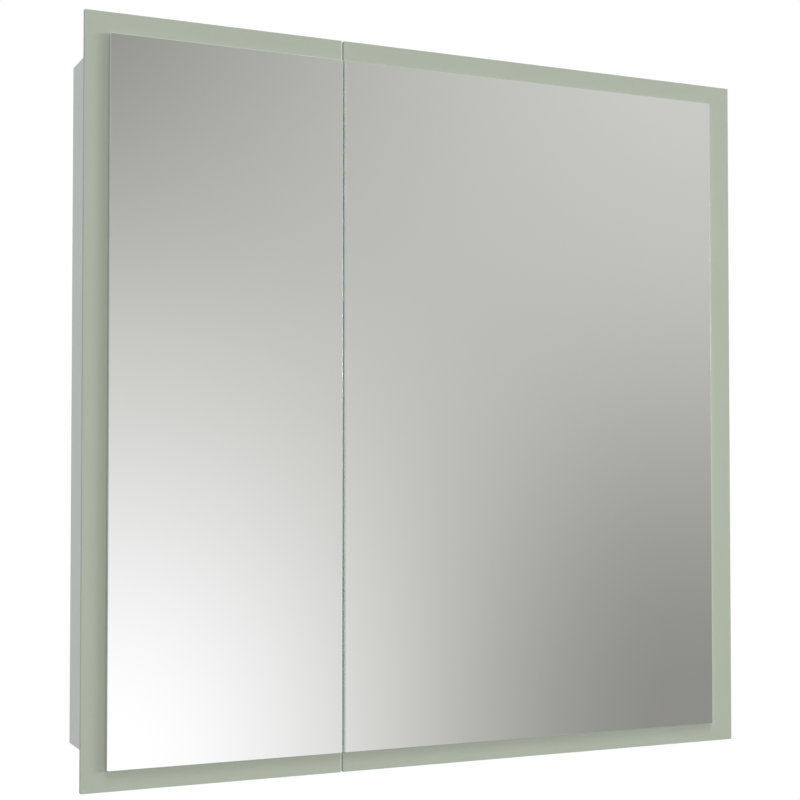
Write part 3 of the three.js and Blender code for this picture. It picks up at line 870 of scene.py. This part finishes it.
def arm_shape():
    """Gooseneck arm: a rolled knuckle, a bent neck and a channel with a screw hole and a slot."""
    bend = filleted([(PIVOT[0] + 1.3, NECK_Y), (NECK_X, NECK_Y), (NECK_X, 8.0)], 3.4, 8)
    neck = extruded(ribbon(bend, NECK_T), "z", -NECK_HALF, NECK_HALF, 0.3)
    rolled = [
        (PIN_BORE_R, -NECK_HALF),
        (1.9, -NECK_HALF),
        (2.2, -3.5),
        (2.2, 3.5),
        (1.9, NECK_HALF),
        (PIN_BORE_R, NECK_HALF),
    ]
    knuckle = lathe(rolled, (*PIVOT, 0), "z", 32, ring=True)

    cover_lo = (CHANNEL_X[0], CHANNEL_Y[0], -CHANNEL_HALF)
    cover = box(cover_lo, (CHANNEL_X[1], CHANNEL_Y[1], CHANNEL_HALF), 1.1, 3)
    trough = box((15, 9, -TROUGH_HALF), (TROUGH_TOP_X, 64, TROUGH_HALF), 0)
    round_hole = lathe([(2.6, 20), (2.6, 30)], (0, SIDE_SCREW_Y, 0), "x", 28)
    slot_lo = (20, DEPTH_SLOT_Y[0], -DEPTH_SLOT_HALF)
    slot_hi = (30, DEPTH_SLOT_Y[1], DEPTH_SLOT_HALF)
    slot = plate(slot_lo, slot_hi, "x", DEPTH_SLOT_HALF, 0.05, ONE_LOOK)
    channel = carved(cover, [trough, round_hole, slot])

    rib = box((CHANNEL_X[1] - 0.5, 27, -3.4), (CHANNEL_X[1] + 0.05, 38, 3.4), 0.25)
    tongue = filleted([(22.8, 58.0), (22.8, 62.5), (19.6, 65.5)], 1.6)
    clip = extruded(ribbon(tongue, 1.2), "z", -5, 5, 0.3)
    return together([neck, knuckle, channel, rib, clip])


def plate_shape():
    """Cross-shaped mounting plate with the spine that the arm clips over."""
    base = plate((PANEL_FACE_X, 12, -9.5), (PLATE_TOP_X, 64, 9.5), "x", 3.0, 0.35, ONE_LOOK)
    cross_hi = (PLATE_TOP_X - SCREW_SINK, 44, 26)
    cross = plate((PANEL_FACE_X, 30, -26), cross_hi, "x", 6.5, 0.35, ONE_LOOK, steps=8)
    spine = box((17.8, 14, -5.8), (23.8, 62, 5.8), 0.8, 3)
    return together([base, cross, spine])


def build_hinge(side, level):
    """Cup and pin on the door, arm and plate on the carcass, and six screws."""
    node = f"{side}_{level}_hinge"
    name = f"hinge_{side}_{level}"
    door = f"{side}_door"
    place = hinge_place(side, level)
    new_piece(f"{name}_cup", cup_shape(), [ZINC], door, [f"{node}_cup"], place)
    new_piece(f"{name}_pin", pin_shape(), [NICKEL], door, [f"{node}_pin"], place)
    new_piece(f"{name}_arm", arm_shape(), [ZINC], "carcass", [f"{node}_arm"], place)
    new_piece(f"{name}_plate", plate_shape(), [ZINC], "carcass", [f"{node}_plate"], place)
    inward = (1 if side == "left" else -1, 0, 0)
    backward = (0, 1, 0)
    wing_x, wing_z = WING_SCREW
    for end, z in (("low", -wing_z), ("high", wing_z)):
        point = place @ Vector((wing_x, FLANGE_TOP - SCREW_SINK, z))
        add_screw(f"{name}_cup_screw_{end}", 3.6, point, backward, door, 1.6)
    plate_y, plate_z = PLATE_SCREW
    for end, z in (("low", -plate_z), ("high", plate_z)):
        point = place @ Vector((PLATE_TOP_X - SCREW_SINK, plate_y, z))
        add_screw(f"{name}_plate_screw_{end}", 3.8, point, inward, "carcass", 1.8)
    for end, y, radius, sunk in (("side", SIDE_SCREW_Y, 2.4, 0.6), ("depth", sum(DEPTH_SLOT_Y) / 2, 3.3, 0)):
        point = place @ Vector((CHANNEL_X[1] - sunk, y, 0))
        add_screw(f"{name}_{end}_screw", radius, point, inward, "carcass", 1.2)


# ---------------------------------------------------------------- wall rail and hangers

RAIL_T = 2
RAIL_STEP_Z = 13
RAIL_LIP_Y = -9
RAIL_BEND_R = 2.2
SLOT_X = (-300, -150, 150, 300)
SLOT_HALF = 9
SLOT_Z = (-5, 1)
CASE_WALL = 2
VENT_ABOVE_FLOOR = (7, 10.5, 14)
VENT_INSET = 6
VENT_HALF = 0.5
HOOK_BEND_R = 2.8
HOOK_DROP = 12.5
SCREW_AXIS_Z = 0
THREAD_TURNS = 26


def build_rail():
    """Folded steel rail with four slots for the wall's screws."""
    lo, hi = cad_box("wall_rail")
    web_y = -RAIL_T / 2
    corners = [(web_y, lo.z), (web_y, RAIL_STEP_Z), (RAIL_LIP_Y, RAIL_STEP_Z), (RAIL_LIP_Y, hi.z)]
    strip = extruded(ribbon(filleted(corners, RAIL_BEND_R), RAIL_T), "x", lo.x, hi.x, 0.3)
    slots = []
    for x in SLOT_X:
        slot_lo = (x - SLOT_HALF, -4, SLOT_Z[0])
        slots.append(plate(slot_lo, (x + SLOT_HALF, 2, SLOT_Z[1]), "y", 2.98, 0.05, ONE_LOOK, steps=8))
    new_piece("rail", carved(strip, slots), [ZINC], "carcass", ["wall_rail"])


def build_hanger(side):
    """Moulded case, bent strap and adjusting screw of one corner hanger."""
    hanger_case(side)
    hanger_strap(side)
    hanger_bolt(side)


def hanger_case(side):
    lo, hi = cad_box(f"{side}_hanger_case")
    wall = Vector((CASE_WALL, CASE_WALL, CASE_WALL))
    open_back = Vector((hi.x - CASE_WALL, hi.y + 2, hi.z - CASE_WALL))
    screw_axis = ((lo.x + hi.x) / 2, lo.y, SCREW_AXIS_Z)
    cutters = [box(lo + wall, open_back, 0), lathe([(2.9, -4), (2.9, 4)], screw_axis, "y", 32)]
    for height in VENT_ABOVE_FLOOR:
        z = lo.z + height
        vent_lo = (lo.x + VENT_INSET, lo.y - 2, z - VENT_HALF)
        cutters.append(box(vent_lo, (hi.x - VENT_INSET, lo.y + 0.5, z + VENT_HALF), 0))
    shell = carved(plate(lo, hi, "y", 2.6, 0.9, ONE_LOOK, count=3), cutters)
    new_piece(f"hanger_cover_{side}", shell, [PLASTIC], "carcass", [f"{side}_hanger_case"])


def hanger_strap(side):
    case_lo, case_hi = cad_box(f"{side}_hanger_case")
    lo, hi = cad_box(f"{side}_hanger_hook")
    half = HOOK_T / 2
    front_y, rear_y, top_z = lo.y + half, hi.y - half, hi.z - half
    corners = [(front_y, lo.z), (front_y, top_z), (rear_y, top_z), (rear_y, hi.z - HOOK_DROP)]
    strap = extruded(ribbon(filleted(corners, HOOK_BEND_R), HOOK_T), "x", lo.x, hi.x, 0.4)
    bore = lathe([(2.8, -9), (2.8, 9)], ((case_lo.x + case_hi.x) / 2, lo.y, SCREW_AXIS_Z), "y", 32)
    strap = carved(strap, [bore])
    new_piece(f"hanger_strap_{side}", strap, [ZINC], "carcass", [f"{side}_hanger_hook"])


def hanger_bolt(side):
    case_lo, case_hi = cad_box(f"{side}_hanger_case")
    x = (case_lo.x + case_hi.x) / 2
    lo, hi = cad_box(f"{side}_hanger_screw")
    shank = [(2.2, 1.5)]
    for turn in range(THREAD_TURNS):
        shank += [(2.45, 2 + turn), (2.1, 2.5 + turn)]
    shank.append((1.6, hi.y - lo.y))
    thread = lathe(shank, (x, lo.y, SCREW_AXIS_Z), "y", 24)
    head = cross_screw(5.0, 2.4, 0.6)
    head_place = facing((0, -1, 0), (x, lo.y + 2.45, SCREW_AXIS_Z))
    bmesh.ops.transform(head, matrix=head_place, verts=head.verts)
    screw = together([thread, head])
    new_piece(f"hanger_bolt_{side}", screw, [NICKEL], "carcass", [f"{side}_hanger_screw"])


# ---------------------------------------------------------------- studio

WHITE = 1.0
MIRROR_REFLECTANCE = 0.9
ROOM_LEVELS = (0.67, 0.34)  # behind the cabinet, at its left and right
# The room in front of the doors, in display values. Its directions are slopes: across to the right and
# above eye level, each per unit of distance from the doors. Pairs are a start and an end.
MIDDLE_SHADE = 0.742
# Below eye level it is lighter at the left and darker at the right, and fades out beyond the pool.
LOW_SWING = 0.261
LOW_RIGHT_SHARE = -0.73
LOW_ACROSS = (0.24, 0.69)
LOW_ABOVE = (0.18, -0.19)
POOL_ACROSS = (-1.2, 0.1)
POOL_ABOVE = (-0.75, -0.25)
POOL_EDGE = (0.3, 0.25)  # what is left of the swing outside the pool, across and above
# Above eye level it is darker at the left and a little lighter at the right.
HIGH_SWING = -0.272
HIGH_LIFT = 0.19
HIGH_ACROSS = (0.2, 0.727)
HIGH_ABOVE = (0.076, 0.351)
WARMTH = 0.018  # blue that the darker shades lack
WARM_SHADES = (0.73, 0.94)


def world_light():
    """White to the camera. Elsewhere a pale room whose brightness drifts across the doors' side."""
    world = bpy.data.worlds.new("Studio")
    bpy.context.scene.world = world
    world.use_nodes = True
    tree = world.node_tree

    def math_node(operation, *values):
        node = tree.nodes.new("ShaderNodeMath")
        node.operation = operation
        for socket, value in zip(node.inputs, values):
            if isinstance(value, (int, float)):
                socket.default_value = value
            else:
                tree.links.new(value, socket)
        return node.outputs[0]

    def ranged(value, start, stop, low, high, kind="SMOOTHSTEP"):
        """The value from start to stop, turned into a number from low to high."""
        node = tree.nodes.new("ShaderNodeMapRange")
        node.interpolation_type = kind
        for socket, number in zip(("From Min", "From Max", "To Min", "To Max"), (start, stop, low, high)):
            node.inputs[socket].default_value = number
        tree.links.new(value, node.inputs["Value"])
        return node.outputs["Result"]

    parts = tree.nodes.new("ShaderNodeSeparateXYZ")
    coordinates = tree.nodes.new("ShaderNodeTexCoord")
    tree.links.new(coordinates.outputs["Generated"], parts.inputs[0])
    x, y, z = parts.outputs
    toward = math_node("MAXIMUM", math_node("MULTIPLY", y, -1.0), 0.05)
    across = math_node("DIVIDE", x, toward)
    above = math_node("DIVIDE", z, toward)
    low = math_node(
        "MULTIPLY",
        ranged(across, *LOW_ACROSS, 1.0, LOW_RIGHT_SHARE),
        ranged(above, *LOW_ABOVE, 0.0, LOW_SWING),
    )
    pool = math_node(
        "MULTIPLY",
        ranged(across, *POOL_ACROSS, POOL_EDGE[0], 1.0),
        ranged(above, *POOL_ABOVE, POOL_EDGE[1], 1.0),
    )
    low = math_node("MULTIPLY", low, pool)
    fade = ranged(across, *HIGH_ACROSS, 1.0, 0.0, "LINEAR")
    high = math_node(
        "MULTIPLY",
        math_node("SUBTRACT", math_node("MULTIPLY", fade, fade), HIGH_LIFT),
        ranged(above, *HIGH_ABOVE, 0.0, HIGH_SWING),
    )
    shade = math_node("ADD", math_node("ADD", low, high), MIDDLE_SHADE)
    warmth = ranged(shade, *WARM_SHADES, WARMTH, 0.0)
    colour = tree.nodes.new("ShaderNodeCombineColor")
    for socket, channel in (
        ("Red", shade),
        ("Green", shade),
        ("Blue", math_node("SUBTRACT", shade, warmth)),
    ):
        # the standard curve from display values to light
        linear = math_node("POWER", math_node("DIVIDE", math_node("ADD", channel, 0.055), 1.055), 2.4)
        tree.links.new(math_node("DIVIDE", linear, MIRROR_REFLECTANCE), colour.inputs[socket])

    def mix(share, a, b):
        """The colour or grey a where share is 0, and b where it is 1."""
        node = tree.nodes.new("ShaderNodeMix")
        node.data_type = "RGBA"
        share_socket, a_socket, b_socket = (node.inputs[i] for i in (0, 6, 7))
        tree.links.new(share, share_socket)
        for socket, value in ((a_socket, a), (b_socket, b)):
            if isinstance(value, float):
                socket.default_value = (value, value, value, 1)
            else:
                tree.links.new(value, socket)
        return node.outputs[2]

    behind = ranged(x, -0.5, 0.5, *ROOM_LEVELS)
    room = mix(ranged(y, 0.0, -0.45, 0.0, 1.0), behind, colour.outputs["Color"])
    rays = tree.nodes.new("ShaderNodeLightPath").outputs["Is Camera Ray"]
    tree.links.new(mix(rays, room, WHITE), tree.nodes["Background"].inputs["Color"])


# Each lamp: shadow length to the left and downward per unit of height, share of the doors' light, softness.
# Three stand at the right and three above, so the shadows beside and below a mirror reach past its corners.
LAMPS = (
    (2.0, 0.2, 0.08, 10),
    (3.0, 0.3, 0.075, 8),
    (4.0, 0.4, 0.07, 7),
    (0.2, 1.6, 0.065, 12),
    (0.3, 2.5, 0.06, 10),
    (0.4, 3.5, 0.06, 8),
)
LAMP_COLOUR = (1.0, 1.0, 0.985)


def lamps():
    """Soft suns that throw the shadows of the mirrors' edges on the satin glass."""
    for i, (across, down, light, softness) in enumerate(LAMPS):
        lamp = bpy.data.lights.new(f"Lamp {i}", "SUN")
        toward_lamp = Vector((across, -1, down))
        lamp.energy = math.pi * light * toward_lamp.length
        lamp.angle = math.radians(softness)
        lamp.color = LAMP_COLOUR
        obj = bpy.data.objects.new(f"Lamp {i}", lamp)
        obj.rotation_mode = "QUATERNION"
        obj.rotation_quaternion = toward_lamp.to_track_quat("Z", "Y")
        bpy.context.scene.collection.objects.link(obj)


FLOOR_Z = -1600
FLOOR_SOLID_R = 1.6
FLOOR_R = 3.6


def floor():
    """A pale round floor that thins out to nothing at its rim."""
    s = Surface("Floor", 0.6)
    s.colour(s.noise(0.003, 4), (0.60, 0.60, 0.596), (0.64, 0.64, 0.635))
    s.relief(s.noise(0.05, 3), 0.2, 0.3)
    distance = s.tree.nodes.new("ShaderNodeVectorMath")
    distance.operation = "LENGTH"
    s.tree.links.new(s.coordinates, distance.inputs[0])
    fade = s.ranged(distance.outputs["Value"], 1.0, 0.0, FLOOR_SOLID_R, FLOOR_R)
    s.link(fade, "Alpha")
    bm = bmesh.new()
    bmesh.ops.create_circle(bm, cap_ends=True, radius=FLOOR_R, segments=128)
    mesh = bpy.data.meshes.new("Floor")
    bm.to_mesh(mesh)
    bm.free()
    mesh.materials.append(s.material)
    obj = bpy.data.objects.new("Floor", mesh)
    obj.location = (0, 0, FLOOR_Z * MM)
    bpy.context.scene.collection.objects.link(obj)


CAMERA_FROM_FACE = Vector((-758.2, -1569.5, -77.3))
LOOK_RIGHT = math.radians(24.43)
LOOK_UP = math.radians(1.61)
LENS = 69.86
SHIFT_Y = 0.039


def camera():
    """A camera at the left of the cabinet and a little below its middle, looking right and slightly up."""
    data = bpy.data.cameras.new("Camera")
    data.sensor_width = 36
    data.lens = LENS
    data.shift_y = SHIFT_Y
    obj = bpy.data.objects.new("Camera", data)
    face_lo = cad_box("left_satin_glass")[0]
    face_hi = cad_box("right_satin_glass")[1]
    centre = Vector(((face_lo.x + face_hi.x) / 2, face_lo.y, (face_lo.z + face_hi.z) / 2))
    obj.location = (centre + CAMERA_FROM_FACE) * MM
    obj.rotation_euler = (math.pi / 2 + LOOK_UP, 0, -LOOK_RIGHT)
    bpy.context.scene.collection.objects.link(obj)
    bpy.context.scene.camera = obj


# ---------------------------------------------------------------- build

build_carcass()
build_shelves()
build_magnet()
build_rail()
for cabinet_side in SIDES:
    door_layers(cabinet_side)
    door_fittings(cabinet_side)
    build_hanger(cabinet_side)
    for hinge_level in LEVELS:
        build_hinge(cabinet_side, hinge_level)
world_light()
lamps()
floor()
camera()
bpy.context.scene.view_settings.view_transform = "Standard"
